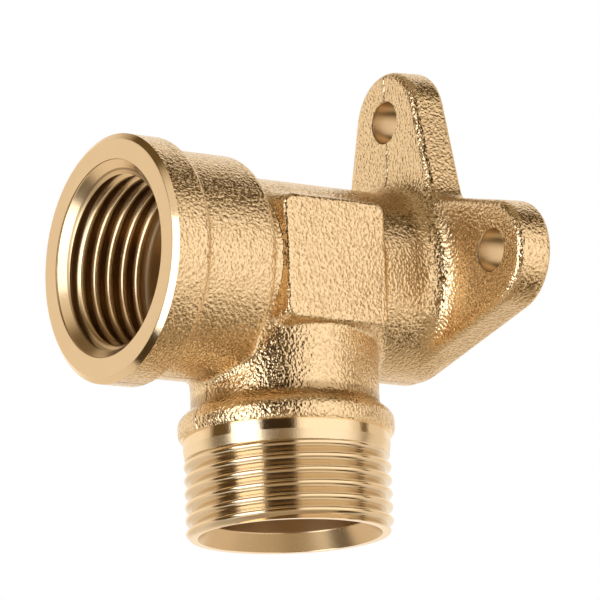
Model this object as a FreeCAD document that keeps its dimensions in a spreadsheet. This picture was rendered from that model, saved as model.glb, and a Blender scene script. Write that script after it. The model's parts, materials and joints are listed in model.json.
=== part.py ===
import FreeCAD
import Part
import math
import os
import Sketcher

# A hot-forged brass wall plate elbow: a three-eared plate, a threaded socket that points away from the wall
# (-Y) and a male threaded outlet that points down (-Z). The origin is on the wall face, on the socket's axis.
# Both threads are turned plain here: the socket at its crest radius, the outlet at its major radius.
SIZES = {
    # where the two axes and the two ends are
    "wall_to_outlet": 19.1,
    "outlet_to_mouth": 22.6,
    "outlet_drop": 29.3,
    # socket, outside: every step stands on the tube's radius
    "tube_radius": 10.65,
    "foot_taper": 0.25,
    "foot_length": 1.8,
    "barrel_step": 2.0,
    "barrel_rear": 8.4,
    "barrel_round": 1.0,
    "collar_step": 1.15,
    "collar_length": 4.8,
    "collar_round": 0.8,
    "mouth_chamfer": 0.45,
    # wall plate: its middle is a little inside the tube below and a little outside above
    "plate_thickness": 4.0,
    "plate_draft": 3.0,
    "plate_tuck": 0.3,
    "plate_flare": 0.3,
    "ear_radius": 6.25,
    "ear_corner": 0.6,
    "side_ear_reach": 18.7,
    "side_ear_rise": 0.15,
    "top_ear_reach": 19.25,
    "plate_edge_round": 0.9,
    "root_fillet": 1.1,
    # screw holes, drilled a little further out than the ears' own centres
    "screw_hole_radius": 2.35,
    "side_hole_out": 0.55,
    "side_hole_up": 0.3,
    "top_hole_up": 0.25,
    # outlet, outside
    "neck_inset": 0.15,
    "neck_drop": 14.95,
    "ring_step": 1.55,
    "ring_slope": 1.25,
    "ring_band": 2.15,
    "ring_cone": 0.75,
    "ring_round": 1.5,
    "spigot_radius": 11.5,
    "spigot_chamfer": 0.75,
    # waterway
    "socket_bore_radius": 9.3155,
    "socket_bore_depth": 13.6,
    "entry_chamfer": 1.8345,
    "waterway_radius": 7.75,
    "drill_overrun": 8.8,
    "drill_point": 4.5,
    "end_land": 0.52,
    "seat_depth": 2.0,
    "spigot_wall": 2.45,
    "outlet_bore_depth": 10.5,
    # flat pad on the side of the elbow
    "pad_rise": 0.3,
    "pad_front": 6.4,
    "pad_rear": 6.7,
    "pad_top": 6.6,
    "pad_bottom": 7.2,
    "pad_corner": 1.2,
    "pad_round": 0.35,
}

doc = FreeCAD.newDocument("wall_plate_elbow")
sheet = doc.addObject("Spreadsheet::Sheet", "Sizes")
for row, (alias, value) in enumerate(SIZES.items(), start=1):
    sheet.set(f"A{row}", alias)
    sheet.set(f"B{row}", str(value))
    sheet.setAlias(f"B{row}", alias)
doc.recompute()

body = doc.addObject("PartDesign::Body", "ElbowBody")
body.Label = "elbow_body"
ORIGIN = {feature.Role: feature for feature in body.Origin.OriginFeatures}


def number(terms):
    """Value of a signed sum of sheet names, such as "-wall_to_outlet +barrel_step"."""
    total = 0.0
    for term in terms.split():
        sign = -1.0 if term.startswith("-") else 1.0
        total += sign * SIZES[term.lstrip("+-")]
    return total


def formula(terms):
    """The same signed sum as an expression on the sheet."""
    text = ""
    for term in terms.split():
        text += " - " if term.startswith("-") else " + "
        text += "Sizes." + term.lstrip("+-")
    return "0" + text


def new_sketch(name, plane):
    sketch = body.newObject("Sketcher::SketchObject", name)
    sketch.AttachmentSupport = [(ORIGIN[plane], "")]
    sketch.MapMode = "FlatFace"
    return sketch


def bind(sketch, constraint, name, terms):
    """Adds one driving constraint, names it and ties it to the sheet."""
    index = sketch.addConstraint(constraint)
    sketch.renameConstraint(index, name)
    sketch.setExpression("Constraints." + name, formula(terms))


def place_point(sketch, geometry, end, name, across, up):
    """Holds a point at (across, up) from the sketch origin; empty terms mean on that axis."""
    for terms, kind, axis, suffix in ((across, "DistanceX", -2, "across"), (up, "DistanceY", -1, "up")):
        if terms:
            constraint = Sketcher.Constraint(kind, -1, 1, geometry, end, number(terms))
            bind(sketch, constraint, f"{name}_{suffix}", terms)
        else:
            sketch.addConstraint(Sketcher.Constraint("PointOnObject", geometry, end, axis))


def closed_profile(sketch, corners):
    """Straight-sided closed outline; every corner is (name, across, up) in signed sums of sheet names."""
    points = [FreeCAD.Vector(number(across), number(up), 0) for _, across, up in corners]
    for start, stop in zip(points, points[1:] + points[:1]):
        sketch.addGeometry(Part.LineSegment(start, stop), False)
    count = len(corners)
    for index, (name, across, up) in enumerate(corners):
        sketch.addConstraint(Sketcher.Constraint("Coincident", (index - 1) % count, 2, index, 1))
        place_point(sketch, index, 1, name, across, up)


def turned(kind, name, corners, axis):
    """Half section in the symmetry plane, turned about the socket's axis or the outlet's."""
    sketch = new_sketch(name + "Section", "YZ_Plane")
    closed_profile(sketch, corners)
    if axis == "socket":
        reference = (sketch, ["H_Axis"])
    else:
        across = number("-wall_to_outlet")
        line = Part.LineSegment(FreeCAD.Vector(across, 0, 0), FreeCAD.Vector(across, number("-neck_drop"), 0))
        index = sketch.addGeometry(line, True)
        place_point(sketch, index, 1, "axis_top", "-wall_to_outlet", "")
        place_point(sketch, index, 2, "axis_low", "-wall_to_outlet", "-neck_drop")
        reference = (sketch, ["Axis0"])
    doc.recompute()
    feature = body.newObject(kind, name)
    feature.Profile = sketch
    feature.ReferenceAxis = reference
    feature.Angle = 360.0
    doc.recompute()
    return feature


def rounded(name, size, wanted):
    """Fillet on every edge of the body that the test picks, with its radius on the sheet."""
    base = body.Tip
    edges = [f"Edge{i}" for i, edge in enumerate(base.Shape.Edges, start=1) if wanted(edge)]
    if not edges:
        raise RuntimeError(name + " found no edge")
    fillet = body.newObject("PartDesign::Fillet", name)
    fillet.Base = (base, edges)
    fillet.setExpression("Radius", "Sizes." + size)
    doc.recompute()
    return fillet


def near(value, wanted):
    return abs(value - wanted) < 1e-4


def in_plane(edge, axis, level):
    """True where the whole edge lies at one level along an axis (0 X, 1 Y, 2 Z)."""
    box = edge.BoundBox
    low = (box.XMin, box.YMin, box.ZMin)[axis]
    high = (box.XMax, box.YMax, box.ZMax)[axis]
    return abs(low - level) < 1e-3 and abs(high - level) < 1e-3


def is_round(edge, radius):
    return isinstance(edge.Curve, Part.Circle) and near(edge.Curve.Radius, radius)


# Plate outline: every ear is a round end on two lines. Below, the lines leave a middle circle under the tube;
# above, they leave a wider one, and the two corners where they meet are eased.
low_middle = "tube_radius -plate_tuck"
high_middle = "tube_radius +plate_flare"
low_radius = number(low_middle)
high_radius = number(high_middle)
ear = SIZES["ear_radius"]
corner = SIZES["ear_corner"]
middle = FreeCAD.Vector(0, 0, 0)
side = FreeCAD.Vector(SIZES["side_ear_reach"], SIZES["side_ear_rise"], 0)
top = FreeCAD.Vector(0, SIZES["top_ear_reach"], 0)
lean = math.atan2(side.y, side.x)
turn_low = lean - math.acos((low_radius - ear) / side.Length)
turn_up = lean + math.acos((high_radius - ear) / side.Length)
turn_top = math.asin((high_radius - ear) / top.Length)


def ray(angle, length):
    return FreeCAD.Vector(length * math.cos(angle), length * math.sin(angle), 0)


def flip(point):
    return FreeCAD.Vector(-point.x, point.y, 0)


def circle(centre, radius):
    return Part.Circle(centre, FreeCAD.Vector(0, 0, 1), radius)


def arc(centre, radius, start, stop):
    return Part.ArcOfCircle(circle(centre, radius), start, stop)


# The eased corner's circle is outside both lines, at the same distance from the two of them.
half = (turn_up - turn_top) / 2
hub = ray((turn_up + turn_top) / 2, (high_radius + corner) / math.cos(half))
low_in = ray(turn_low, low_radius)
low_out = side + ray(turn_low, ear)
up_out = side + ray(turn_up, ear)
up_in = hub - ray(turn_up, corner)
top_in = hub - ray(turn_top, corner)
top_out = top + ray(turn_top, ear)
outline = new_sketch("PlateOutline", "XZ_Plane")
# segments in travel order; the eased corners are drawn against the travel
segments = [
    ("along", arc(middle, low_radius, math.pi - turn_low, 2 * math.pi + turn_low)),
    ("along", Part.LineSegment(low_in, low_out)),
    ("along", arc(side, ear, turn_low, turn_up)),
    ("along", Part.LineSegment(up_out, up_in)),
    ("against", arc(hub, corner, math.pi + turn_top, math.pi + turn_up)),
    ("along", Part.LineSegment(top_in, top_out)),
    ("along", arc(top, ear, turn_top, math.pi - turn_top)),
    ("along", Part.LineSegment(flip(top_out), flip(top_in))),
    ("against", arc(flip(hub), corner, -turn_up, -turn_top)),
    ("along", Part.LineSegment(flip(up_in), flip(up_out))),
    ("along", arc(flip(side), ear, math.pi - turn_up, math.pi - turn_low)),
    ("along", Part.LineSegment(flip(low_out), flip(low_in))),
]


def ends(travel):
    """A segment's first and last point in travel order, by the sketcher's numbers."""
    return (1, 2) if travel == "along" else (2, 1)


for travel, segment in segments:
    outline.addGeometry(segment, False)
for index, (travel, segment) in enumerate(segments):
    following = (index + 1) % len(segments)
    last = ends(travel)[1]
    first = ends(segments[following][0])[0]
    outline.addConstraint(Sketcher.Constraint("Tangent", index, last, following, first))
guide = outline.addGeometry(circle(middle, high_radius), True)
outline.addConstraint(Sketcher.Constraint("Coincident", 0, 3, -1, 1))
outline.addConstraint(Sketcher.Constraint("Coincident", guide, 3, -1, 1))
bind(outline, Sketcher.Constraint("Radius", 0, low_radius), "low_middle", low_middle)
bind(outline, Sketcher.Constraint("Radius", guide, high_radius), "high_middle", high_middle)
place_point(outline, 2, 3, "right_ear", "side_ear_reach", "side_ear_rise")
place_point(outline, 10, 3, "left_ear", "-side_ear_reach", "side_ear_rise")
place_point(outline, 6, 3, "top_ear", "", "top_ear_reach")
bind(outline, Sketcher.Constraint("Radius", 2, ear), "ear", "ear_radius")
outline.addConstraint(Sketcher.Constraint("Equal", 2, 6))
outline.addConstraint(Sketcher.Constraint("Equal", 2, 10))
bind(outline, Sketcher.Constraint("Radius", 4, corner), "corner", "ear_corner")
outline.addConstraint(Sketcher.Constraint("Equal", 4, 8))
for line in (3, 5, 7, 9):
    outline.addConstraint(Sketcher.Constraint("Tangent", line, guide))
doc.recompute()

plate = body.newObject("PartDesign::Pad", "Plate")
plate.Profile = outline
plate.setExpression("Length", "Sizes.plate_thickness")
plate.setExpression("TaperAngle", "-Sizes.plate_draft")
doc.recompute()
front = -SIZES["plate_thickness"]
rounded("PlateEdgeRound", "plate_edge_round", lambda edge: in_plane(edge, 1, front))

# Socket: collar at the mouth, stepped barrel behind it, and the tube that runs on into the plate.
barrel_radius = "tube_radius +barrel_step"
collar_radius = "tube_radius +barrel_step +collar_step"
barrel_foot = "-wall_to_outlet -barrel_rear"
mouth = "-wall_to_outlet -outlet_to_mouth"
collar_foot = mouth + " +collar_length"
turned("PartDesign::Revolution", "Socket", [
    ("wall_axis", "", ""),
    ("wall_rim", "", "tube_radius -foot_taper"),
    ("foot_edge", "-foot_length", "tube_radius"),
    ("barrel_foot", barrel_foot, "tube_radius"),
    ("barrel_edge", barrel_foot, barrel_radius),
    ("collar_foot", collar_foot, barrel_radius),
    ("collar_edge", collar_foot, collar_radius),
    ("chamfer_rear", mouth + " +mouth_chamfer", collar_radius),
    ("chamfer_face", mouth, collar_radius + " -mouth_chamfer"),
    ("mouth_axis", mouth, ""),
], "socket")

# Outlet: plain neck, forged ring with a sloped shoulder, and the spigot turned for its thread.
neck_side = "-wall_to_outlet +tube_radius -neck_inset"
ring_side = neck_side + " +ring_step"
spigot_side = "-wall_to_outlet +spigot_radius"
ring_top = "-neck_drop -ring_slope"
ring_low = ring_top + " -ring_band"
turned("PartDesign::Revolution", "Outlet", [
    ("neck_axis", "-wall_to_outlet", ""),
    ("neck_top", neck_side, ""),
    ("ring_foot", neck_side, "-neck_drop"),
    ("ring_edge", ring_side, ring_top),
    ("ring_low", ring_side, ring_low),
    ("spigot_top", spigot_side, ring_low + " -ring_cone"),
    ("spigot_edge", spigot_side, "-outlet_drop +spigot_chamfer"),
    ("spigot_face", spigot_side + " -spigot_chamfer", "-outlet_drop"),
    ("end_axis", "-wall_to_outlet", "-outlet_drop"),
], "outlet")
ring_radius = number("tube_radius -neck_inset +ring_step")
rounded("PlateRoot", "root_fillet",
        lambda edge: in_plane(edge, 1, front) and is_round(edge, SIZES["tube_radius"]))
rounded("CollarRound", "collar_round",
        lambda edge: in_plane(edge, 1, number(collar_foot)) and is_round(edge, number(collar_radius)))
rounded("BarrelRound", "barrel_round",
        lambda edge: in_plane(edge, 1, number(barrel_foot)) and is_round(edge, number(barrel_radius)))
rounded("RingRound", "ring_round",
        lambda edge: in_plane(edge, 2, number(ring_top)) and is_round(edge, ring_radius))

# Flat pad on the +X side, across the crossing of the two tubes.
pad_outline = new_sketch("PadOutline", "YZ_Plane")
pad_corner = SIZES["pad_corner"]
pad_left = number("-wall_to_outlet -pad_front +pad_corner")
pad_right = number("-wall_to_outlet +pad_rear -pad_corner")
pad_low = number("-pad_bottom +pad_corner")
pad_high = number("pad_top -pad_corner")
centres = [
    FreeCAD.Vector(pad_right, pad_low, 0),
    FreeCAD.Vector(pad_right, pad_high, 0),
    FreeCAD.Vector(pad_left, pad_high, 0),
    FreeCAD.Vector(pad_left, pad_low, 0),
]
for quarter, centre in enumerate(centres):
    start = (quarter - 1) * math.pi / 2
    stop = quarter * math.pi / 2
    pad_outline.addGeometry(arc(centre, pad_corner, start, stop), False)
    following = centres[(quarter + 1) % 4]
    edge_line = Part.LineSegment(centre + ray(stop, pad_corner), following + ray(stop, pad_corner))
    pad_outline.addGeometry(edge_line, False)
for index in range(8):
    pad_outline.addConstraint(Sketcher.Constraint("Tangent", index, 2, (index + 1) % 8, 1))
for index in (2, 4, 6):
    pad_outline.addConstraint(Sketcher.Constraint("Equal", 0, index))
bind(pad_outline, Sketcher.Constraint("Radius", 0, pad_corner), "corner", "pad_corner")
pad_outline.addConstraint(Sketcher.Constraint("Vertical", 1))
pad_outline.addConstraint(Sketcher.Constraint("Horizontal", 3))
place_point(pad_outline, 0, 3, "low_rear", "-wall_to_outlet +pad_rear -pad_corner", "-pad_bottom +pad_corner")
place_point(pad_outline, 4, 3, "high_front", "-wall_to_outlet -pad_front +pad_corner", "pad_top -pad_corner")
doc.recompute()
pad = body.newObject("PartDesign::Pad", "SidePad")
pad.Profile = pad_outline
pad_face = "tube_radius +pad_rise"
pad.setExpression("Length", formula(pad_face))
doc.recompute()
rounded("PadRound", "pad_round", lambda edge: in_plane(edge, 0, number(pad_face)))

# Socket bore: entry chamfer, thread bore, and the narrower waterway with its drilled end.
bore_end = mouth + " +socket_bore_depth"
drill_end = "-wall_to_outlet +drill_overrun"
turned("PartDesign::Groove", "SocketBore", [
    ("mouth_axis", mouth, ""),
    ("entry_face", mouth, "socket_bore_radius +entry_chamfer"),
    ("entry_end", mouth + " +entry_chamfer", "socket_bore_radius"),
    ("bore_end", bore_end, "socket_bore_radius"),
    ("step_end", bore_end + " +socket_bore_radius -waterway_radius", "waterway_radius"),
    ("drill_end", drill_end, "waterway_radius"),
    ("drill_tip", drill_end + " +drill_point", ""),
], "socket")

# Outlet bore: conical seat, bore for the pipe adaptor, and the waterway up to the socket's axis.
pipe_side = spigot_side + " -spigot_wall"
pipe_end = "-outlet_drop +outlet_bore_depth"
waterway_side = "-wall_to_outlet +waterway_radius"
turned("PartDesign::Groove", "OutletBore", [
    ("end_axis", "-wall_to_outlet", "-outlet_drop"),
    ("seat_face", spigot_side + " -spigot_chamfer -end_land", "-outlet_drop"),
    ("seat_end", pipe_side, "-outlet_drop +seat_depth"),
    ("bore_end", pipe_side, pipe_end),
    ("step_end", waterway_side, pipe_end + " +spigot_radius -spigot_wall -waterway_radius"),
    ("waterway_top", waterway_side, ""),
    ("waterway_axis", "-wall_to_outlet", ""),
], "outlet")

# Three screw holes through the ears.
screw_holes = new_sketch("ScrewHoles", "XZ_Plane")
spots = [
    ("right_hole", "side_ear_reach +side_hole_out", "side_ear_rise +side_hole_up"),
    ("left_hole", "-side_ear_reach -side_hole_out", "side_ear_rise +side_hole_up"),
    ("top_hole", "", "top_ear_reach +top_hole_up"),
]
screw_radius = SIZES["screw_hole_radius"]
for index, (name, across, up) in enumerate(spots):
    centre = FreeCAD.Vector(number(across), number(up), 0)
    screw_holes.addGeometry(circle(centre, screw_radius), False)
    place_point(screw_holes, index, 3, name, across, up)
bind(screw_holes, Sketcher.Constraint("Radius", 0, screw_radius), "screw", "screw_hole_radius")
screw_holes.addConstraint(Sketcher.Constraint("Equal", 0, 1))
screw_holes.addConstraint(Sketcher.Constraint("Equal", 0, 2))
doc.recompute()
drilled = body.newObject("PartDesign::Pocket", "Drilled")
drilled.Profile = screw_holes
drilled.Type = "ThroughAll"
drilled.Reversed = True
doc.recompute()

for item in doc.Objects:
    if "Invalid" in item.State or "Error" in item.State:
        raise RuntimeError(item.Name + " did not build")
if not body.Shape.isValid() or len(body.Shape.Solids) != 1:
    raise RuntimeError("the elbow is not one sound solid")
os.makedirs("parts", exist_ok=True)
body.Shape.exportStep(os.path.join("parts", body.Label + ".step"))
solid = body.Shape.Solids[0]
print("volume", round(solid.Volume, 1), "centre of mass", solid.CenterOfMass, solid.BoundBox)
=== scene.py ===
import json
import math

import bmesh
import bpy
import numpy as np
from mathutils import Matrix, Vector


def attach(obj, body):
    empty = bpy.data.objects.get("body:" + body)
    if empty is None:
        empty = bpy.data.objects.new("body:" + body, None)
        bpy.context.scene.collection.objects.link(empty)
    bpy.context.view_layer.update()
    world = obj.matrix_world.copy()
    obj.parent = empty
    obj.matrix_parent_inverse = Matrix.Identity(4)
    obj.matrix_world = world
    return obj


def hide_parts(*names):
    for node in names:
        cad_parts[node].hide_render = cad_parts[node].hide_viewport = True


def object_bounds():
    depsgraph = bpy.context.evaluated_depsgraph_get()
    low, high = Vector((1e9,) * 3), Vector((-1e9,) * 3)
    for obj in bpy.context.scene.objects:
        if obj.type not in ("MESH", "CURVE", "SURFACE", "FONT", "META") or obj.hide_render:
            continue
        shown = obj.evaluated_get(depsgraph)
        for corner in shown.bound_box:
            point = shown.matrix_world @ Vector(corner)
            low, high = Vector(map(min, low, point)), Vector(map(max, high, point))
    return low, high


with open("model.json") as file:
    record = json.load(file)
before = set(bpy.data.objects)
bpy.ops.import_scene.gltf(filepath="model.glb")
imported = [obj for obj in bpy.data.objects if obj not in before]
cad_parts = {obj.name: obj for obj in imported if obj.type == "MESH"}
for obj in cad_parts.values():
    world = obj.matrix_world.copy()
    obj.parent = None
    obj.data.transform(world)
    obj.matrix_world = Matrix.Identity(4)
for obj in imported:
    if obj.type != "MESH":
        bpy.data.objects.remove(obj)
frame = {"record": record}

import openvdb
from mathutils import Matrix, Vector

cad_low, cad_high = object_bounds()

# All shapes are drawn in millimetres and scaled at the end. The socket lies along Y and its mouth
# faces -Y; the outlet hangs down along Z.
MM = 0.001
mounts = {mount["name"]: mount for mount in frame["record"]["mounts"]}
OUTLET_Y = mounts["outlet_thread"]["pos_m"][1] / MM
MOUTH_Y = cad_low[1] / MM
END_Z = cad_low[2] / MM

# Brass, as it leaves the die and the blast cabinet: pale gold, softly pebbled all over, with a faint
# line where the two dies met. The pebbles are fractions of a millimetre, so they are bump, not mesh;
# their hollows are painted darker, as painted shade.
# The corner where the outlet's ring begins is painted darker, as painted shade.
BRASS = (0.890, 0.710, 0.470, 1.0)
BRASS_DEEP = (0.840, 0.655, 0.415, 1.0)
BRASS_PIT_SHADE = (0.68, 0.51, 0.30, 1.0)
BRASS_CORNER_SHADE = (0.52, 0.38, 0.22, 1.0)
RING_FOOT = -14.95
CORNER_SHADE_MIDDLE = RING_FOOT + 0.35
CORNER_SHADE_REACH = 1.0
CORNER_SHADE_FULL = 0.3
GRIT_SCALE = 3000.0
PEBBLE_SCALE = 2500.0
PATCH_SCALE = 160.0
GRIT_HEIGHT = 0.75
PEBBLE_HEIGHT = 0.35
PIT_SHADE_LEVELS = (0.30, 0.55)
SKIN_BRIGHTEST = 0.12
SKIN_DULLEST = 0.22
SKIN_DEPTH = 0.145
SEAM_REACH = 0.40
SEAM_FULL = 0.05
SEAM_HEIGHT = 1.5


def new_material(name):
    """A node material with one metal shader; gives the material, its tree and the shader."""
    material = bpy.data.materials.new(name)
    material.use_nodes = True
    tree = material.node_tree
    tree.nodes.clear()
    output = tree.nodes.new("ShaderNodeOutputMaterial")
    shader = tree.nodes.new("ShaderNodeBsdfPrincipled")
    shader.inputs["Metallic"].default_value = 1.0
    tree.links.new(shader.outputs["BSDF"], output.inputs["Surface"])
    return material, tree, shader


def add_node(tree, kind, values=None, links=None, **settings):
    """Adds a node, sets its properties and plain inputs, and links other sockets into it."""
    node = tree.nodes.new(kind)
    for key, value in settings.items():
        setattr(node, key, value)
    for key, value in (values or {}).items():
        node.inputs[key].default_value = value
    for key, socket in (links or {}).items():
        tree.links.new(socket, node.inputs[key])
    return node


def maths(tree, operation, first, second=None):
    """One Math node; each operand is a number or a socket."""
    node = tree.nodes.new("ShaderNodeMath")
    node.operation = operation
    for slot, operand in zip(node.inputs, (first, second)):
        if isinstance(operand, (int, float)):
            slot.default_value = operand
        elif operand is not None:
            tree.links.new(operand, slot)
    return node.outputs[0]


def noise(tree, vector, scale, detail):
    """Smooth noise, scale in grains to the metre."""
    values = {"Scale": scale, "Detail": detail}
    return add_node(tree, "ShaderNodeTexNoise", values, {"Vector": vector}).outputs["Fac"]


def smooth_range(tree, value, start, stop):
    """0 at the start and 1 at the stop, with an eased way between them."""
    node = add_node(tree, "ShaderNodeMapRange", {"From Min": start, "From Max": stop}, {"Value": value},
                    interpolation_type="SMOOTHSTEP")
    return node.outputs["Result"]


def mixed(tree, share, first, second):
    """Goes from the first colour to the second; each is a colour or a socket."""
    node = tree.nodes.new("ShaderNodeMix")
    node.data_type = "RGBA"
    tree.links.new(share, node.inputs[0])
    for slot, colour in ((6, first), (7, second)):
        if isinstance(colour, tuple):
            node.inputs[slot].default_value = colour
        else:
            tree.links.new(colour, node.inputs[slot])
    return node.outputs[2]


forged_brass, tree, shader = new_material("forged_brass")
place = add_node(tree, "ShaderNodeTexCoord").outputs["Object"]
split = add_node(tree, "ShaderNodeSeparateXYZ", None, {"Vector": place})
cells = add_node(tree, "ShaderNodeTexVoronoi", {"Scale": PEBBLE_SCALE}, {"Vector": place}).outputs["Distance"]
grit = noise(tree, place, GRIT_SCALE, 1.0)
patches = noise(tree, place, PATCH_SCALE, 3.0)
grains = maths(tree, "MULTIPLY", grit, GRIT_HEIGHT)
dimples = maths(tree, "MULTIPLY", cells, PEBBLE_HEIGHT)
pebbles = maths(tree, "SUBTRACT", grains, dimples)
tone = mixed(tree, patches, BRASS_DEEP, BRASS)
# painted shade: the pebbles' hollows, where the grit noise is low, are darkened
tone = mixed(tree, smooth_range(tree, grit, *PIT_SHADE_LEVELS), BRASS_PIT_SHADE, tone)
# painted shade: the inside corner where the ring meets the neck is darkened
from_corner_shade = maths(tree, "ABSOLUTE", maths(tree, "SUBTRACT", split.outputs["Z"], CORNER_SHADE_MIDDLE * MM))
tone = mixed(tree, smooth_range(tree, from_corner_shade, CORNER_SHADE_REACH * MM, CORNER_SHADE_FULL * MM), tone, BRASS_CORNER_SHADE)
tree.links.new(tone, shader.inputs["Base Color"])
dull = add_node(tree, "ShaderNodeMapRange", {"To Min": SKIN_BRIGHTEST, "To Max": SKIN_DULLEST},
                {"Value": patches})
tree.links.new(dull.outputs["Result"], shader.inputs["Roughness"])
from_seam = maths(tree, "ABSOLUTE", split.outputs["X"])
seam = smooth_range(tree, from_seam, SEAM_REACH * MM, SEAM_FULL * MM)
seam = maths(tree, "MULTIPLY", seam, maths(tree, "MULTIPLY", patches, SEAM_HEIGHT))
relief = add_node(tree, "ShaderNodeBump", {"Strength": 1.0, "Distance": SKIN_DEPTH * MM},
                  {"Height": maths(tree, "ADD", pebbles, seam)})
tree.links.new(relief.outputs["Normal"], shader.inputs["Normal"])

# The same brass where a tool has cut it: bright and smooth, with the fine rings that a lathe leaves
# round its axis. Some stretches are duller than the rest or have a tone of their own; the thread
# grooves, the waterway, the screw holes and the outlet's seat and bore are painted darker, as painted shade.
BRASS_CUT = (0.890, 0.740, 0.520, 1.0)
BRASS_FRESH = (0.800, 0.700, 0.550, 1.0)
BRASS_BORE_SHADE = (0.74, 0.57, 0.36, 1.0)
BRASS_RECESS_SHADE = (0.66, 0.50, 0.31, 1.0)
BRASS_GROOVE_SHADE = (0.45, 0.33, 0.19, 1.0)
RING_MARKS = 9000.0
ALONG_SHARE = 1.37
MARK_DEPTH = 0.003
WEAR_SCALE = 420.0
SPECKLE_SCALE = 5200.0
SPECKLE_HEIGHT = 1.2
CUT_ROUGHNESS = 0.08
WEAR_ROUGHNESS = 0.10


def within(tree, value, low, high):
    """1 where a length lies between two limits in millimetres, else 0."""
    middle = (low + high) / 2 * MM
    half = (high - low) / 2 * MM
    return add_node(tree, "ShaderNodeMath", {1: middle, 2: half}, {0: value}, operation="COMPARE").outputs[0]


def turned_brass(name, axis, zones):
    """Brass cut on the lathe about the socket's axis ("Y") or the outlet's ("Z").

    Each zone is (limits along the axis, limits of the radius, added roughness, tone).
    """
    material, tree, shader = new_material(name)
    place = add_node(tree, "ShaderNodeTexCoord").outputs["Object"]
    split = add_node(tree, "ShaderNodeSeparateXYZ", None, {"Vector": place})
    along = split.outputs[axis]
    if axis == "Y":
        across = split.outputs["Z"]
    else:
        across = maths(tree, "SUBTRACT", split.outputs["Y"], OUTLET_Y * MM)
    across_x = maths(tree, "POWER", split.outputs["X"], 2.0)
    radius = maths(tree, "SQRT", maths(tree, "ADD", across_x, maths(tree, "POWER", across, 2.0)))
    # a measure that grows over flat faces and along walls, so that both get rings
    spot = maths(tree, "ADD", radius, maths(tree, "MULTIPLY", along, ALONG_SHARE))
    rings = add_node(tree, "ShaderNodeTexNoise", {"Scale": RING_MARKS, "Detail": 2.0}, {"W": spot},
                     noise_dimensions="1D").outputs["Fac"]
    wear = noise(tree, place, WEAR_SCALE, 3.0)
    speckle = noise(tree, place, SPECKLE_SCALE, 1.0)
    tone = mixed(tree, speckle, BRASS, BRASS_CUT)
    rough = maths(tree, "ADD", maths(tree, "MULTIPLY", wear, WEAR_ROUGHNESS), CUT_ROUGHNESS)
    for lengths, radii, extra, colour in zones:
        here = maths(tree, "MULTIPLY", within(tree, along, *lengths), within(tree, radius, *radii))
        rough = maths(tree, "ADD", rough, maths(tree, "MULTIPLY", here, extra))
        tone = mixed(tree, here, tone, colour)
    tree.links.new(tone, shader.inputs["Base Color"])
    tree.links.new(rough, shader.inputs["Roughness"])
    grain = maths(tree, "ADD", rings, maths(tree, "MULTIPLY", speckle, SPECKLE_HEIGHT))
    relief = add_node(tree, "ShaderNodeBump", {"Strength": 1.0, "Distance": MARK_DEPTH * MM},
                      {"Height": grain})
    tree.links.new(relief.outputs["Normal"], shader.inputs["Normal"])
    return material


LAND_END = -19.45
THREAD_TOP = LAND_END - 1.15
socket_brass = turned_brass("turned_brass_socket", "Y", [
    # mouth face, entry bevel, thread crests, thread grooves darkened as painted shade, and the waterway
    # and screw holes darkened as painted shade
    ((MOUTH_Y - 0.5, MOUTH_Y + 0.02), (9, 15), 0.30, BRASS),
    ((MOUTH_Y + 0.1, MOUTH_Y + 1.6), (9.5, 10.95), 0.12, BRASS),
    ((MOUTH_Y + 0.9, MOUTH_Y + 10), (9.2, 9.85), 0.12, BRASS_DEEP),
    # painted shade: the thread grooves are darkened
    ((MOUTH_Y + 0.9, MOUTH_Y + 10), (9.85, 11), 0.08, BRASS_GROOVE_SHADE),
    # painted shade: the waterway past the thread and the screw holes' walls are darkened
    ((MOUTH_Y + 10, -4.5), (0, 11), 0.30, BRASS_RECESS_SHADE),
    ((-4.2, 0.2), (14, 26), 0.16, BRASS_RECESS_SHADE)])
outlet_brass = turned_brass("turned_brass_outlet", "Z", [
    # the run-out under the land, thread, and the conical seat and pipe bore darkened as painted shade
    ((THREAD_TOP, LAND_END), (10, 12), 0.14, BRASS_CUT),
    ((END_Z + 0.1, THREAD_TOP), (10.4, 11.4), 0.0, BRASS_FRESH),
    # painted shade: the seat and the bore inside the outlet's end are darkened
    ((END_Z + 0.02, END_Z + 2.0), (8, 10.3), 0.14, BRASS_BORE_SHADE),
    ((END_Z + 2.0, END_Z + 11.8), (7, 9.2), 0.20, BRASS_BORE_SHADE)])
FINISHES = (forged_brass, socket_brass, outlet_brass)
FORGED, SOCKET_CUT, OUTLET_CUT = range(3)

# The blank is one hot forging: plate, tube, stepped barrel, neck, ring and pad come out of one pair of
# dies, so its inside corners are rounded and its walls lean. It is drawn as distances from the die's
# wall, in millimetres, with stock where a face is cut later.
STOCK = 1.0
TUBE_RADIUS = 10.65
TUBE_REAR = -1.0
TUBE_EDGE = 0.3
BARREL_RADIUS = 12.65
BARREL_REAR = OUTLET_Y - 8.4
BARREL_EDGE = 1.0
BARREL_ROOT = 0.8
COLLAR_RADIUS = 13.80
COLLAR_REAR = MOUTH_Y + 4.8
COLLAR_EDGE = 0.75
COLLAR_ROOT = 0.7
NECK_RADIUS = 10.5
NECK_TOP = 3.0
NECK_DOME = 5.0
NECK_ROOT = 1.1
RING_RADIUS = 12.05
RING_LOW = -17.90
RING_SHOULDER = math.radians(51.1)
RING_UNDERCUT = math.radians(32.5)
RING_TOP_EDGE = 0.6
RING_LOW_EDGE = 0.25
RING_ROOT = 0.4
CUT_Z = -18.30
PAD_FACE = 11.20
PAD_DRAFT = math.radians(16.0)
PAD_MIDDLE = (OUTLET_Y + 0.15, -0.30)
PAD_HALF = (6.55, 6.90)
PAD_CORNER = 1.2
PAD_EDGE = 0.4
PAD_ROOT = 0.4
PLATE_DEPTH = 4.0
PLATE_DRAFT = math.radians(3.0)
PLATE_EDGE = 0.9
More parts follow.
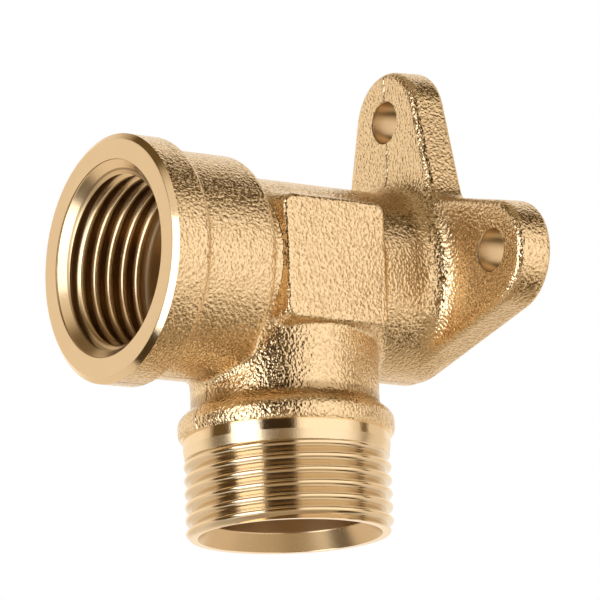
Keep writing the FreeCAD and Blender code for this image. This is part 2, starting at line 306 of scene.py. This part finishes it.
PLATE_REAR_EDGE = 0.4
PLATE_ROOT = 3.4
FOOT_ROOT = 0.35
FOOT_TOP = -5.0
FOOT_FADE = 0.6
EAR_ROOT = 0.8
EAR_RADIUS = 6.25
SIDE_EAR = (18.7, 0.15)
TOP_EAR = (0.0, 19.25)
LOW_MIDDLE = TUBE_RADIUS - 0.3
HIGH_MIDDLE = TUBE_RADIUS + 0.3


def blend(first, second, reach):
    """Union of two distances with a fillet that starts at the given reach."""
    gap = np.maximum(reach - np.abs(first - second), 0.0) / reach
    return np.minimum(first, second) - gap * gap * reach / 4


def ease(first, second, reach):
    """The common part of two distances with its edge rounded."""
    return -blend(-first, -second, reach)


def slab(across, length, edge):
    """Common part of two distances, its edge rounded to a true radius."""
    a = across + edge
    b = length + edge
    return np.hypot(np.maximum(a, 0.0), np.maximum(b, 0.0)) + np.minimum(np.maximum(a, b), 0.0) - edge


def ear_distance(x, z, centre, high_turn, low_turn):
    """An ear: a round end with two lines that leave it, given by the directions they face."""
    dx = x - centre[0]
    dz = z - centre[1]
    high = dx * math.cos(high_turn) + dz * math.sin(high_turn)
    low = dx * math.cos(low_turn) + dz * math.sin(low_turn)
    middle = (high_turn + low_turn) / 2
    spread = (high_turn - low_turn) / 2
    forward = dx * math.cos(middle) + dz * math.sin(middle)
    sideways = dz * math.cos(middle) - dx * math.sin(middle)
    at_end = np.abs(np.arctan2(sideways, forward)) < spread
    return np.where(at_end, np.hypot(dx, dz), np.maximum(high, low)) - EAR_RADIUS


side_length = math.hypot(*SIDE_EAR)
side_lean = math.atan2(SIDE_EAR[1], SIDE_EAR[0])
side_low = side_lean - math.acos((LOW_MIDDLE - EAR_RADIUS) / side_length)
side_high = side_lean + math.acos((HIGH_MIDDLE - EAR_RADIUS) / side_length)
top_turn = math.asin((HIGH_MIDDLE - EAR_RADIUS) / TOP_EAR[1])


def plate_distance(x, y, z):
    """The plate: two side ears and a top ear about a round middle, leaning with the die."""
    side = ear_distance(np.abs(x), z, SIDE_EAR, side_high, side_low)
    side = np.maximum(side, LOW_MIDDLE * math.cos(side_low) - np.abs(x))
    top = np.maximum(ear_distance(x, z, TOP_EAR, math.pi - top_turn, top_turn), -z)
    outline = np.minimum(blend(side, top, EAR_ROOT), np.hypot(x, z) - LOW_MIDDLE)
    # the edge is eased over its last stretch before the wall
    rear_ease = np.maximum(y + PLATE_REAR_EDGE, 0.0) ** 2 / (3 * PLATE_REAR_EDGE)
    leaned = outline - y * math.tan(PLATE_DRAFT) + rear_ease
    return slab(leaned, np.maximum(-PLATE_DEPTH - y, y - STOCK), PLATE_EDGE)


def outlet_distance(x, y, z):
    """The neck, with a dome inside the tube, and the ring with its leaning shoulder."""
    about = np.hypot(x, y - OUTLET_Y)
    stub_end = CUT_Z - STOCK - z
    neck = slab(about - NECK_RADIUS, z - NECK_TOP, NECK_DOME)
    shoulder = (about - NECK_RADIUS) * math.cos(RING_SHOULDER) + (z - RING_FOOT) * math.sin(RING_SHOULDER)
    undercut = (about - RING_RADIUS) * math.cos(RING_UNDERCUT) - (z - RING_LOW) * math.sin(RING_UNDERCUT)
    ring = ease(ease(about - RING_RADIUS, shoulder, RING_TOP_EDGE), undercut, RING_LOW_EDGE)
    return blend(np.maximum(neck, stub_end), np.maximum(ring, stub_end), RING_ROOT)


def pad_distance(x, y, z):
    """The flat pad on the +X side, a block with round corners and leaning walls."""
    along = np.abs(y - PAD_MIDDLE[0]) - PAD_HALF[0]
    high = np.abs(z - PAD_MIDDLE[1]) - PAD_HALF[1]
    walls = slab(along, high, PAD_CORNER) - (PAD_FACE - x) * math.tan(PAD_DRAFT)
    return slab(walls, np.maximum(x - PAD_FACE, -x), PAD_EDGE)


def blank_distance(x, y, z):
    """The whole forging."""
    about = np.hypot(x, z)
    front = MOUTH_Y - STOCK - y
    tube = slab(about - TUBE_RADIUS, np.maximum(y - TUBE_REAR, MOUTH_Y - y), TUBE_EDGE)
    barrel = slab(about - BARREL_RADIUS, np.maximum(y - BARREL_REAR, front), BARREL_EDGE)
    collar = slab(about - COLLAR_RADIUS, np.maximum(y - COLLAR_REAR, front), COLLAR_EDGE)
    body = blend(blend(tube, barrel, BARREL_ROOT), collar, COLLAR_ROOT)
    # the plate's foot lies flush with the tube, so the root fillet dies out there
    root = np.clip(PLATE_ROOT + (z - FOOT_TOP) * FOOT_FADE, FOOT_ROOT, PLATE_ROOT)
    body = blend(body, plate_distance(x, y, z), root)
    body = blend(body, outlet_distance(x, y, z), NECK_ROOT)
    return blend(body, pad_distance(x, y, z), PAD_ROOT)


def mesh_object(name, points, faces, cut=FORGED):
    """A mesh object that has all three finishes, with every face given one of them."""
    mesh = bpy.data.meshes.new(name)
    mesh.from_pydata([tuple(point) for point in points], [], [tuple(face) for face in faces])
    for finish in FINISHES:
        mesh.materials.append(finish)
    mesh.polygons.foreach_set("material_index", [cut] * len(mesh.polygons))
    mesh.update()
    thing = bpy.data.objects.new(name, mesh)
    bpy.context.scene.collection.objects.link(thing)
    return thing


def slope_at(points):
    """The direction in which the distance grows."""
    step = 0.04
    slopes = []
    for offset in np.eye(3) * step:
        slopes.append(blank_distance(*(points + offset).T) - blank_distance(*(points - offset).T))
    return np.stack(slopes, axis=1) / (2 * step)


def settle(points):
    """Moves points on to the die's wall."""
    for _ in range(3):
        slope = slope_at(points)
        gap = blank_distance(*points.T)
        points = points - slope * (gap / np.maximum((slope ** 2).sum(axis=1), 0.3))[:, None]
    return points


CELL = 0.36
corner = np.array([cad_low[0] / MM - 1.0, MOUTH_Y - 2.0, CUT_Z - 2.0])
reach = np.array([cad_high[0] / MM + 1.0, 2.0, cad_high[2] / MM + 1.0])
counts = np.ceil((reach - corner) / CELL).astype(int) + 1
lines = [corner[i] + CELL * np.arange(counts[i]) for i in range(3)]
field = blank_distance(*np.meshgrid(*lines, indexing="ij"))
grid = openvdb.FloatGrid(1.0)
grid.copyFromArray(field.astype(np.float32))
skin, quads = grid.convertToQuads(isovalue=0.0)
skin = np.asarray(skin, dtype=float) * CELL + corner
elbow = mesh_object("elbow", settle(skin), np.asarray(quads))

# edges of the mesh are halved twice where the wall turns sharply
BEND = math.cos(math.radians(12))
for _ in range(2):
    work = bmesh.new()
    work.from_mesh(elbow.data)
    facing = slope_at(np.array([vert.co for vert in work.verts]))
    facing /= np.linalg.norm(facing, axis=1)[:, None]
    ends = np.array([[vert.index for vert in edge.verts] for edge in work.edges])
    bent = (facing[ends[:, 0]] * facing[ends[:, 1]]).sum(axis=1) < BEND
    halved = [edge for edge, sharp in zip(work.edges, bent) if sharp]
    bmesh.ops.subdivide_edges(work, edges=halved, cuts=1, use_grid_fill=True)
    settled = settle(np.array([vert.co for vert in work.verts]))
    for vert, point in zip(work.verts, settled):
        vert.co = point
    work.to_mesh(elbow.data)
    work.free()

# Machining: the forging is faced, bored and turned on a lathe about both axes. Every tool is a closed
# solid of revolution, and the faces that it leaves carry the turned finish.
ROUND = 144
CORNER_BREAK = 0.05
AXES = {
    "socket": Matrix.Rotation(math.radians(-90), 4, "X"),
    "outlet": Matrix.Translation((0, OUTLET_Y, 0)),
}


def break_corners(outline):
    """The outline's inner points, each corner now a narrow flat with a holding point on either side."""
    points = [np.array(point, dtype=float) for point in outline]
    broken = []
    for before, here, after in zip(points, points[1:], points[2:]):
        for other, steps in ((before, (2.2, 1.0)), (after, (1.0, 2.2))):
            side = np.linalg.norm(other - here)
            way = (other - here) / side
            broken += [tuple(here + way * min(CORNER_BREAK, side / 6) * step) for step in steps]
    return broken


def lathe(name, outline, axis, cut):
    """Solid of revolution from (radius, place along the axis) points, which start and end on the axis."""
    rings = break_corners(outline)
    points = []
    for radius, along in rings:
        for angle in np.arange(ROUND) * 2 * math.pi / ROUND:
            points.append((radius * math.cos(angle), radius * math.sin(angle), along))
    points += [(0.0, 0.0, outline[0][1]), (0.0, 0.0, outline[-1][1])]
    rows = len(rings)
    first = rows * ROUND
    last = first + 1
    faces = []
    for i in range(ROUND):
        j = (i + 1) % ROUND
        faces.append((first, j, i))
        faces.append((last, (rows - 1) * ROUND + i, (rows - 1) * ROUND + j))
        for row in range(rows - 1):
            near = row * ROUND
            far = near + ROUND
            faces.append((near + i, near + j, far + j, far + i))
    if outline[-1][1] < outline[0][1]:
        faces = [face[::-1] for face in faces]
    tool = mesh_object(name, points, faces, cut)
    tool.data.transform(AXES[axis])
    return tool


def plain_mesh(thing):
    """The object's evaluated shape as its own plain mesh, with no modifier left."""
    seen = thing.evaluated_get(bpy.context.evaluated_depsgraph_get())
    mesh = bpy.data.meshes.new_from_object(seen)
    thing.modifiers.clear()
    thing.data = mesh


def machine(work, tool, operation):
    """Cuts the tool out of the work, or joins it on, and throws the tool away."""
    cut = work.modifiers.new("cut", "BOOLEAN")
    cut.operation = operation
    cut.solver = "MANIFOLD"
    cut.object = tool
    plain_mesh(work)
    bpy.data.objects.remove(tool)


# The wall face is flat and keeps the skin of the forging. The mouth is faced on the lathe, and its outer
# edge is broken.
WALL_REACH = 40.0
WALL_STOCK = 5.0
FACE_RADIUS = 13.15
BEVEL_OUT = FACE_RADIUS + 3.0
BEVEL_REAR = MOUTH_Y + 2.4
FACE_STOCK = MOUTH_Y - 6.0
behind = [(0, 0), (WALL_REACH, 0), (WALL_REACH, WALL_STOCK), (0, WALL_STOCK)]
machine(elbow, lathe("wall_tool", behind, "socket", FORGED), "DIFFERENCE")
faced = [(0, MOUTH_Y), (FACE_RADIUS, MOUTH_Y), (BEVEL_OUT, BEVEL_REAR), (BEVEL_OUT, FACE_STOCK),
         (0, FACE_STOCK)]
machine(elbow, lathe("facing_tool", faced, "socket", SOCKET_CUT), "DIFFERENCE")

# Threads: a pipe thread cut inside the socket and a metric thread on the outlet. One node tree makes
# both as a threaded plug, which is cut out of the socket and joined on to the outlet.
PLUG_LENGTHS = ("Pitch", "Crest Radius", "Root Radius", "Fullness", "Steepness", "Valley", "Valley Round",
                "Length", "Run-out Start", "Run-out End", "Run-out Level", "Chamfer")
PLUG_COUNTS = ("Segments", "Rows per Turn")


def plug_profile(tree, given, level, turn):
    """The thread's height, 0 at the root and 1 at the crest, at a level and a part of a turn."""
    wound = maths(tree, "SUBTRACT", maths(tree, "DIVIDE", level, given["Pitch"]), turn)
    # whole turns are added, so that the fraction is taken of a positive number
    phase = maths(tree, "FRACT", maths(tree, "ADD", wound, 1000.0))
    from_crest = maths(tree, "ABSOLUTE", maths(tree, "SUBTRACT", maths(tree, "MULTIPLY", phase, 2.0), 1.0))
    fall = maths(tree, "SUBTRACT", 1.0, maths(tree, "POWER", from_crest, given["Fullness"]))
    flank = maths(tree, "SUBTRACT", maths(tree, "MULTIPLY", fall, given["Steepness"]), given["Valley"])
    eased = add_node(tree, "ShaderNodeMath", {1: 0.0}, {0: flank, 2: given["Valley Round"]},
                     operation="SMOOTH_MAX").outputs[0]
    return maths(tree, "MINIMUM", eased, 1.0)


def plug_tree():
    """A grid of rows and segments, rolled into a plug whose radius follows the thread."""
    tree = bpy.data.node_groups.new("threaded_plug", "GeometryNodeTree")
    tree.interface.new_socket("Geometry", in_out="OUTPUT", socket_type="NodeSocketGeometry")
    for name in PLUG_LENGTHS:
        tree.interface.new_socket(name, in_out="INPUT", socket_type="NodeSocketFloat")
    for name in PLUG_COUNTS:
        tree.interface.new_socket(name, in_out="INPUT", socket_type="NodeSocketInt")
    tree.interface.new_socket("Finish", in_out="INPUT", socket_type="NodeSocketMaterial")
    given = tree.nodes.new("NodeGroupInput").outputs
    # one row for each end's middle, and enough rows for the length and one turn more
    turns = maths(tree, "ADD", maths(tree, "DIVIDE", given["Length"], given["Pitch"]), 1.0)
    rows = maths(tree, "CEIL", maths(tree, "MULTIPLY", turns, given["Rows per Turn"]))
    rows = maths(tree, "ADD", rows, 3.0)
    columns = maths(tree, "ADD", given["Segments"], 1.0)
    sheet = add_node(tree, "GeometryNodeMeshGrid", {"Size X": 1.0, "Size Y": 1.0},
                     {"Vertices X": columns, "Vertices Y": rows})
    position = tree.nodes.new("GeometryNodeInputPosition").outputs["Position"]
    spot = add_node(tree, "ShaderNodeSeparateXYZ", None, {"Vector": position})
    turn = maths(tree, "ADD", spot.outputs["X"], 0.5)
    last_row = maths(tree, "SUBTRACT", rows, 1.0)
    row = maths(tree, "ROUND", maths(tree, "MULTIPLY", maths(tree, "ADD", spot.outputs["Y"], 0.5), last_row))
    # rows climb with the helix and are held between the plug's two ends
    climbed = maths(tree, "DIVIDE", maths(tree, "SUBTRACT", row, 1.0), given["Rows per Turn"])
    climbed = maths(tree, "ADD", maths(tree, "SUBTRACT", climbed, 1.0), turn)
    rise = maths(tree, "MULTIPLY", climbed, given["Pitch"])
    level = maths(tree, "MINIMUM", maths(tree, "MAXIMUM", rise, 0.0), given["Length"])
    profile = plug_profile(tree, given, level, turn)
    # along the run-out the thread fades to a plain radius, and the start is bevelled
    fade = add_node(tree, "ShaderNodeMapRange", {"To Min": 1.0, "To Max": 0.0}, {
        "Value": level, "From Min": given["Run-out Start"], "From Max": given["Run-out End"]})
    fade = fade.outputs["Result"]
    plain = maths(tree, "MULTIPLY", given["Run-out Level"], maths(tree, "SUBTRACT", 1.0, fade))
    height = maths(tree, "ADD", maths(tree, "MULTIPLY", profile, fade), plain)
    depth = maths(tree, "SUBTRACT", given["Crest Radius"], given["Root Radius"])
    radius = maths(tree, "ADD", given["Root Radius"], maths(tree, "MULTIPLY", depth, height))
    bevel = maths(tree, "ADD", maths(tree, "SUBTRACT", given["Crest Radius"], given["Chamfer"]), level)
    radius = maths(tree, "MINIMUM", radius, bevel)
    # the first and last rows shrink to a point and close the ends
    after_first = maths(tree, "GREATER_THAN", row, 0.5)
    before_last = maths(tree, "LESS_THAN", row, maths(tree, "SUBTRACT", last_row, 0.5))
    radius = maths(tree, "MULTIPLY", radius, maths(tree, "MULTIPLY", after_first, before_last))
    angle = maths(tree, "MULTIPLY", turn, 2 * math.pi)
    where = add_node(tree, "ShaderNodeCombineXYZ", None, {
        "X": maths(tree, "MULTIPLY", radius, maths(tree, "COSINE", angle)),
        "Y": maths(tree, "MULTIPLY", radius, maths(tree, "SINE", angle)),
        "Z": level})
    rolled = add_node(tree, "GeometryNodeSetPosition", None, {
        "Geometry": sheet.outputs["Mesh"], "Position": where.outputs["Vector"]})
    welded = add_node(tree, "GeometryNodeMergeByDistance", {"Distance": 0.002},
                      {"Geometry": rolled.outputs["Geometry"]})
    real = add_node(tree, "GeometryNodeRealizeInstances", None, {"Geometry": welded.outputs["Geometry"]})
    dressed = add_node(tree, "GeometryNodeSetMaterial", None, {
        "Geometry": real.outputs["Geometry"], "Material": given["Finish"]})
    end = tree.nodes.new("NodeGroupOutput")
    tree.links.new(dressed.outputs["Geometry"], end.inputs["Geometry"])
    return tree


threaded_plug = plug_tree()


def thread(name, axis, start, turned, cut, values):
    """A threaded plug that starts at one place along an axis, turned by a part of a turn."""
    plug = mesh_object(name, [], [])
    maker = plug.modifiers.new("thread", "NODES")
    maker.node_group = threaded_plug
    for item in threaded_plug.interface.items_tree:
        if item.in_out == "INPUT":
            maker[item.identifier] = values[item.name]
    plain_mesh(plug)
    plug.data.materials.clear()
    for finish in FINISHES:
        plug.data.materials.append(finish)
    plug.data.polygons.foreach_set("material_index", [cut] * len(plug.data.polygons))
    spin = Matrix.Rotation(turned * 2 * math.pi, 4, "Z")
    plug.data.transform(AXES[axis] @ Matrix.Translation((0, 0, start)) @ spin)
    return plug


# Outlet: a turned land under the ring, a run-out, and the thread down to a bevelled end. The pipe seats
# in a cone inside the end, and a plain bore leads up to the waterway.
OUTLET_PITCH = 1.5
OUTLET_CREST = mounts["outlet_thread"]["dims"]["r_mm"]
OUTLET_ROOT = OUTLET_CREST - 0.92
OUTLET_START = -0.19
CUT_OUT = RING_RADIUS + 2.0
CUT_LOW = CUT_Z - 3.0
LAND_TOP = CUT_Z + 0.4
RUN_OUT_RADIUS = OUTLET_CREST - 0.16
CORE_RADIUS = 8.5
CORE_TOP = THREAD_TOP - 0.2
parting = [(0, CUT_Z), (CUT_OUT, CUT_Z), (CUT_OUT, CUT_LOW), (0, CUT_LOW)]
machine(elbow, lathe("parting_tool", parting, "outlet", OUTLET_CUT), "DIFFERENCE")
land = [(0, LAND_TOP), (OUTLET_CREST, LAND_TOP), (OUTLET_CREST, LAND_END), (RUN_OUT_RADIUS, THREAD_TOP),
        (CORE_RADIUS, CORE_TOP), (0, CORE_TOP)]
machine(elbow, lathe("land", land, "outlet", OUTLET_CUT), "UNION")
machine(elbow, thread("outlet_thread", "outlet", END_Z, OUTLET_START, OUTLET_CUT, {
    "Pitch": OUTLET_PITCH, "Crest Radius": OUTLET_CREST, "Root Radius": OUTLET_ROOT,
    "Fullness": 1.9, "Steepness": 1.0, "Valley": 0.0, "Valley Round": 0.0,
    "Length": LAND_END - 0.3 - END_Z, "Run-out Start": 8.2, "Run-out End": 9.2, "Run-out Level": 0.80,
    "Chamfer": 0.45, "Segments": 144, "Rows per Turn": 14, "Finish": outlet_brass}), "UNION")

# Socket: a bevelled entry, the pipe thread and its run-out, and the drilled waterway behind it, which
# meets the one that comes up from the outlet.
SOCKET_PITCH = 1.814
SOCKET_CREST = mounts["socket_thread"]["dims"]["r_mm"]
SOCKET_ROOT = 10.4775
ENTRY_RADIUS = 10.95
ENTRY_START = MOUTH_Y + 0.14
ENTRY_LEAN = math.radians(40.5)
ENTRY_END = ENTRY_START + (ENTRY_RADIUS - SOCKET_CREST) * math.tan(ENTRY_LEAN)
BORE_END = MOUTH_Y + 13.6
WATERWAY = 7.75
WATERWAY_TOP = BORE_END + SOCKET_CREST - WATERWAY
WATERWAY_END = -10.3
DRILL_POINT = -5.8
TAP_START = MOUTH_Y - 0.2
CLEAR = 2.0
socket_drill = [
    (0, MOUTH_Y - CLEAR), (ENTRY_RADIUS, MOUTH_Y - CLEAR), (ENTRY_RADIUS, ENTRY_START),
    (SOCKET_CREST, ENTRY_END), (SOCKET_CREST, BORE_END), (WATERWAY, WATERWAY_TOP), (WATERWAY, WATERWAY_END),
    (0, DRILL_POINT)]
machine(elbow, lathe("socket_drill", socket_drill, "socket", SOCKET_CUT), "DIFFERENCE")
machine(elbow, thread("socket_tap", "socket", TAP_START, 0.0, SOCKET_CUT, {
    "Pitch": SOCKET_PITCH, "Crest Radius": SOCKET_ROOT, "Root Radius": SOCKET_CREST,
    "Fullness": 1.0, "Steepness": 1.5, "Valley": 0.25, "Valley Round": 0.35,
    "Length": 12.0, "Run-out Start": 9.4, "Run-out End": 11.8, "Run-out Level": 0.0,
    "Chamfer": 0.0, "Segments": 128, "Rows per Turn": 18, "Finish": socket_brass}), "DIFFERENCE")
PIPE_RADIUS = mounts["outlet_bore"]["dims"]["r_mm"]
PIPE_END = END_Z + 10.5
SEAT_RADIUS = 10.23
SEAT_END = END_Z + 2.0
outlet_drill = [
    (0, END_Z - CLEAR), (SEAT_RADIUS, END_Z - CLEAR), (SEAT_RADIUS, END_Z), (PIPE_RADIUS, SEAT_END),
    (PIPE_RADIUS, PIPE_END), (WATERWAY, PIPE_END + PIPE_RADIUS - WATERWAY), (WATERWAY, 0), (0, 0)]
machine(elbow, lathe("outlet_drill", outlet_drill, "outlet", OUTLET_CUT), "DIFFERENCE")

# Three screw holes, drilled through the ears from the front, with a slightly broken edge. They are the
# last cut, and then the part is finished.
side_z = mounts["side_screws"]["pos_m"][2] / MM
half_span = mounts["side_screws"]["dims"]["spacing_x_mm"] / 2
top_z = mounts["top_screw"]["pos_m"][2] / MM
SCREW_RADIUS = mounts["top_screw"]["dims"]["r_mm"]
HOLE_START = -PLATE_DEPTH - CLEAR
HOLE_END = 1.0
EDGE_WIDTH = 0.12
EDGE_DEPTH = 0.15
hole = [
    (0, HOLE_START), (SCREW_RADIUS + CLEAR, HOLE_START), (SCREW_RADIUS + EDGE_WIDTH, -PLATE_DEPTH),
    (SCREW_RADIUS, -PLATE_DEPTH + EDGE_DEPTH), (SCREW_RADIUS, HOLE_END), (0, HOLE_END)]
for x, z in ((half_span, side_z), (-half_span, side_z), (0.0, top_z)):
    drill = lathe("screw_drill", hole, "socket", SOCKET_CUT)
    drill.data.transform(Matrix.Translation((x, 0, z)))
    machine(elbow, drill, "DIFFERENCE")

elbow.data.transform(Matrix.Scale(MM, 4))
elbow.data.shade_smooth()
elbow.data.set_sharp_from_angle(angle=math.radians(32))
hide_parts("elbow_body")
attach(elbow, "root")

# The studio: a plain pale floor well below, because the camera looks up at the part, and a tent of soft
# light round it with one bright box on the left, dark flags beside the box, and little light from above.
VIEW_AZIMUTH = 55.753
FLOOR_Z = -0.45
FLOOR_HALF = 0.2
FLOOR_PAPER = (0.74, 0.62, 0.46, 1.0)
FLOOR_GLOW = 0.5
WHITE = (1.0, 1.0, 1.0, 1.0)
floor_corners = [(x * FLOOR_HALF, y * FLOOR_HALF, FLOOR_Z) for x, y in ((-1, -1), (1, -1), (1, 1), (-1, 1))]
floor_mesh = bpy.data.meshes.new("floor")
floor_mesh.from_pydata(floor_corners, [], [(0, 1, 2, 3)])
floor = bpy.data.objects.new("floor", floor_mesh)
bpy.context.scene.collection.objects.link(floor)
floor_paper = bpy.data.materials.new("floor_paper")
floor_paper.use_nodes = True
tree = floor_paper.node_tree
paper = tree.nodes["Principled BSDF"]
paper.inputs["Base Color"].default_value = FLOOR_PAPER
paper.inputs["Roughness"].default_value = 0.9
paper.inputs["Emission Color"].default_value = WHITE
camera_ray = add_node(tree, "ShaderNodeLightPath").outputs["Is Camera Ray"]
tree.links.new(maths(tree, "MULTIPLY", camera_ray, FLOOR_GLOW), paper.inputs["Emission Strength"])
floor_mesh.materials.append(floor_paper)

world = bpy.data.worlds.new("studio")
bpy.context.scene.world = world
world.use_nodes = True
tree = world.node_tree
tree.nodes.clear()
outward = add_node(tree, "ShaderNodeTexCoord").outputs["Generated"]
way = add_node(tree, "ShaderNodeSeparateXYZ", None, {"Vector": outward})
# degrees round from the camera, positive to its right, and degrees above the horizon
turn = maths(tree, "ARCTAN2", way.outputs["X"], maths(tree, "MULTIPLY", way.outputs["Y"], -1.0))
turn = maths(tree, "SUBTRACT", maths(tree, "DEGREES", turn), VIEW_AZIMUTH)
turn = add_node(tree, "ShaderNodeMath", {1: 180.0, 2: -180.0}, {0: turn}, operation="WRAP").outputs[0]
lift = maths(tree, "DEGREES", maths(tree, "ARCSINE", way.outputs["Z"]))


def band(value, low, high, soft):
    """1 between two limits in degrees, 0 outside, with soft edges."""
    rise = smooth_range(tree, value, low - soft, low + soft)
    fall = smooth_range(tree, value, high + soft, high - soft)
    return maths(tree, "MULTIPLY", rise, fall)


TENT = (0.86, 0.72, 0.56, 1.0)
ALL_ROUND = (-400, 400)
# colour, limits round from the camera, limits of height and softness of the edges, in degrees
PANELS = [
    # the tent is darker at its top and at its foot
    ((0.40, 0.31, 0.19), ALL_ROUND, (46, 200), 8),
    ((0.52, 0.42, 0.29), ALL_ROUND, (-200, -42), 10),
    # broad soft light on the right, on the left and behind the part
    ((1.26, 1.13, 0.98), (14, 78), (-28, 32), 8),
    ((1.07, 0.94, 0.78), (-165, -102), (-6, 24), 8),
    ((1.04, 0.94, 0.82), (140, 400), (-20, 58), 8),
    ((1.04, 0.94, 0.82), (-400, -162), (-20, 54), 8),
    # dark flags high and low on the right and high on the left, and a light strip low on the left
    ((0.06, 0.035, 0.012), (78, 130), (39, 68), 5),
    ((0.08, 0.05, 0.018), (82, 124), (-68, -42), 5),
    ((0.12, 0.07, 0.025), (-125, -62), (42, 62), 5),
    ((0.90, 0.80, 0.66), (-105, -48), (-66, -46), 5),
    # dark flags on both sides of the bright box, and a narrow one on the right
    ((0.13, 0.08, 0.03), (-92, -63), (-40, 62), 4),
    ((0.06, 0.035, 0.012), (-97, -62), (-47, -22), 3),
    ((0.22, 0.14, 0.06), (-29, 11.5), (-46, 80), 3),
    ((0.035, 0.018, 0.006), (-28, 10.5), (2, 50), 2),
    ((0.20, 0.13, 0.06), (91, 103), (-8, 30), 2),
    # the bright box
    ((2.6, 2.6, 2.6), (-62, -29), (-37, 22), 1.5),
]
light_node = add_node(tree, "ShaderNodeRGB")
light_node.outputs[0].default_value = TENT
light = light_node.outputs[0]
for colour, turns, lifts, soft in PANELS:
    where = maths(tree, "MULTIPLY", band(turn, *turns, soft), band(lift, *lifts, soft))
    light = mixed(tree, where, light, (*colour, 1.0))
camera_ray = add_node(tree, "ShaderNodeLightPath").outputs["Is Camera Ray"]
backdrop = mixed(tree, camera_ray, light, WHITE)
sky = add_node(tree, "ShaderNodeBackground", {"Strength": 1.0}, {"Color": backdrop})
add_node(tree, "ShaderNodeOutputWorld", None, {"Surface": sky.outputs["Background"]})

# The camera stands a little under the part, in front of the socket's right side, and looks up at it
# through a long lens.
VIEW_LIFT = -12.753
VIEW_ROLL = -2.30
VIEW_MIDDLE = Vector((-0.64, -16.11, -2.16)) * MM
VIEW_DISTANCE = 620.0 * MM
camera_data = bpy.data.cameras.new("camera")
camera_data.sensor_width = 36.0
camera_data.lens = 332.93
camera = bpy.data.objects.new("camera", camera_data)
bpy.context.scene.collection.objects.link(camera)
swing = Matrix.Rotation(math.radians(VIEW_AZIMUTH), 4, "Z")
tilt = Matrix.Rotation(math.radians(90 - VIEW_LIFT), 4, "X")
roll = Matrix.Rotation(math.radians(VIEW_ROLL), 4, "Z")
back_off = Matrix.Translation((0, 0, VIEW_DISTANCE))
camera.matrix_world = Matrix.Translation(VIEW_MIDDLE) @ swing @ tilt @ back_off @ roll
bpy.context.scene.camera = camera
bpy.context.scene.view_settings.view_transform = "Standard"
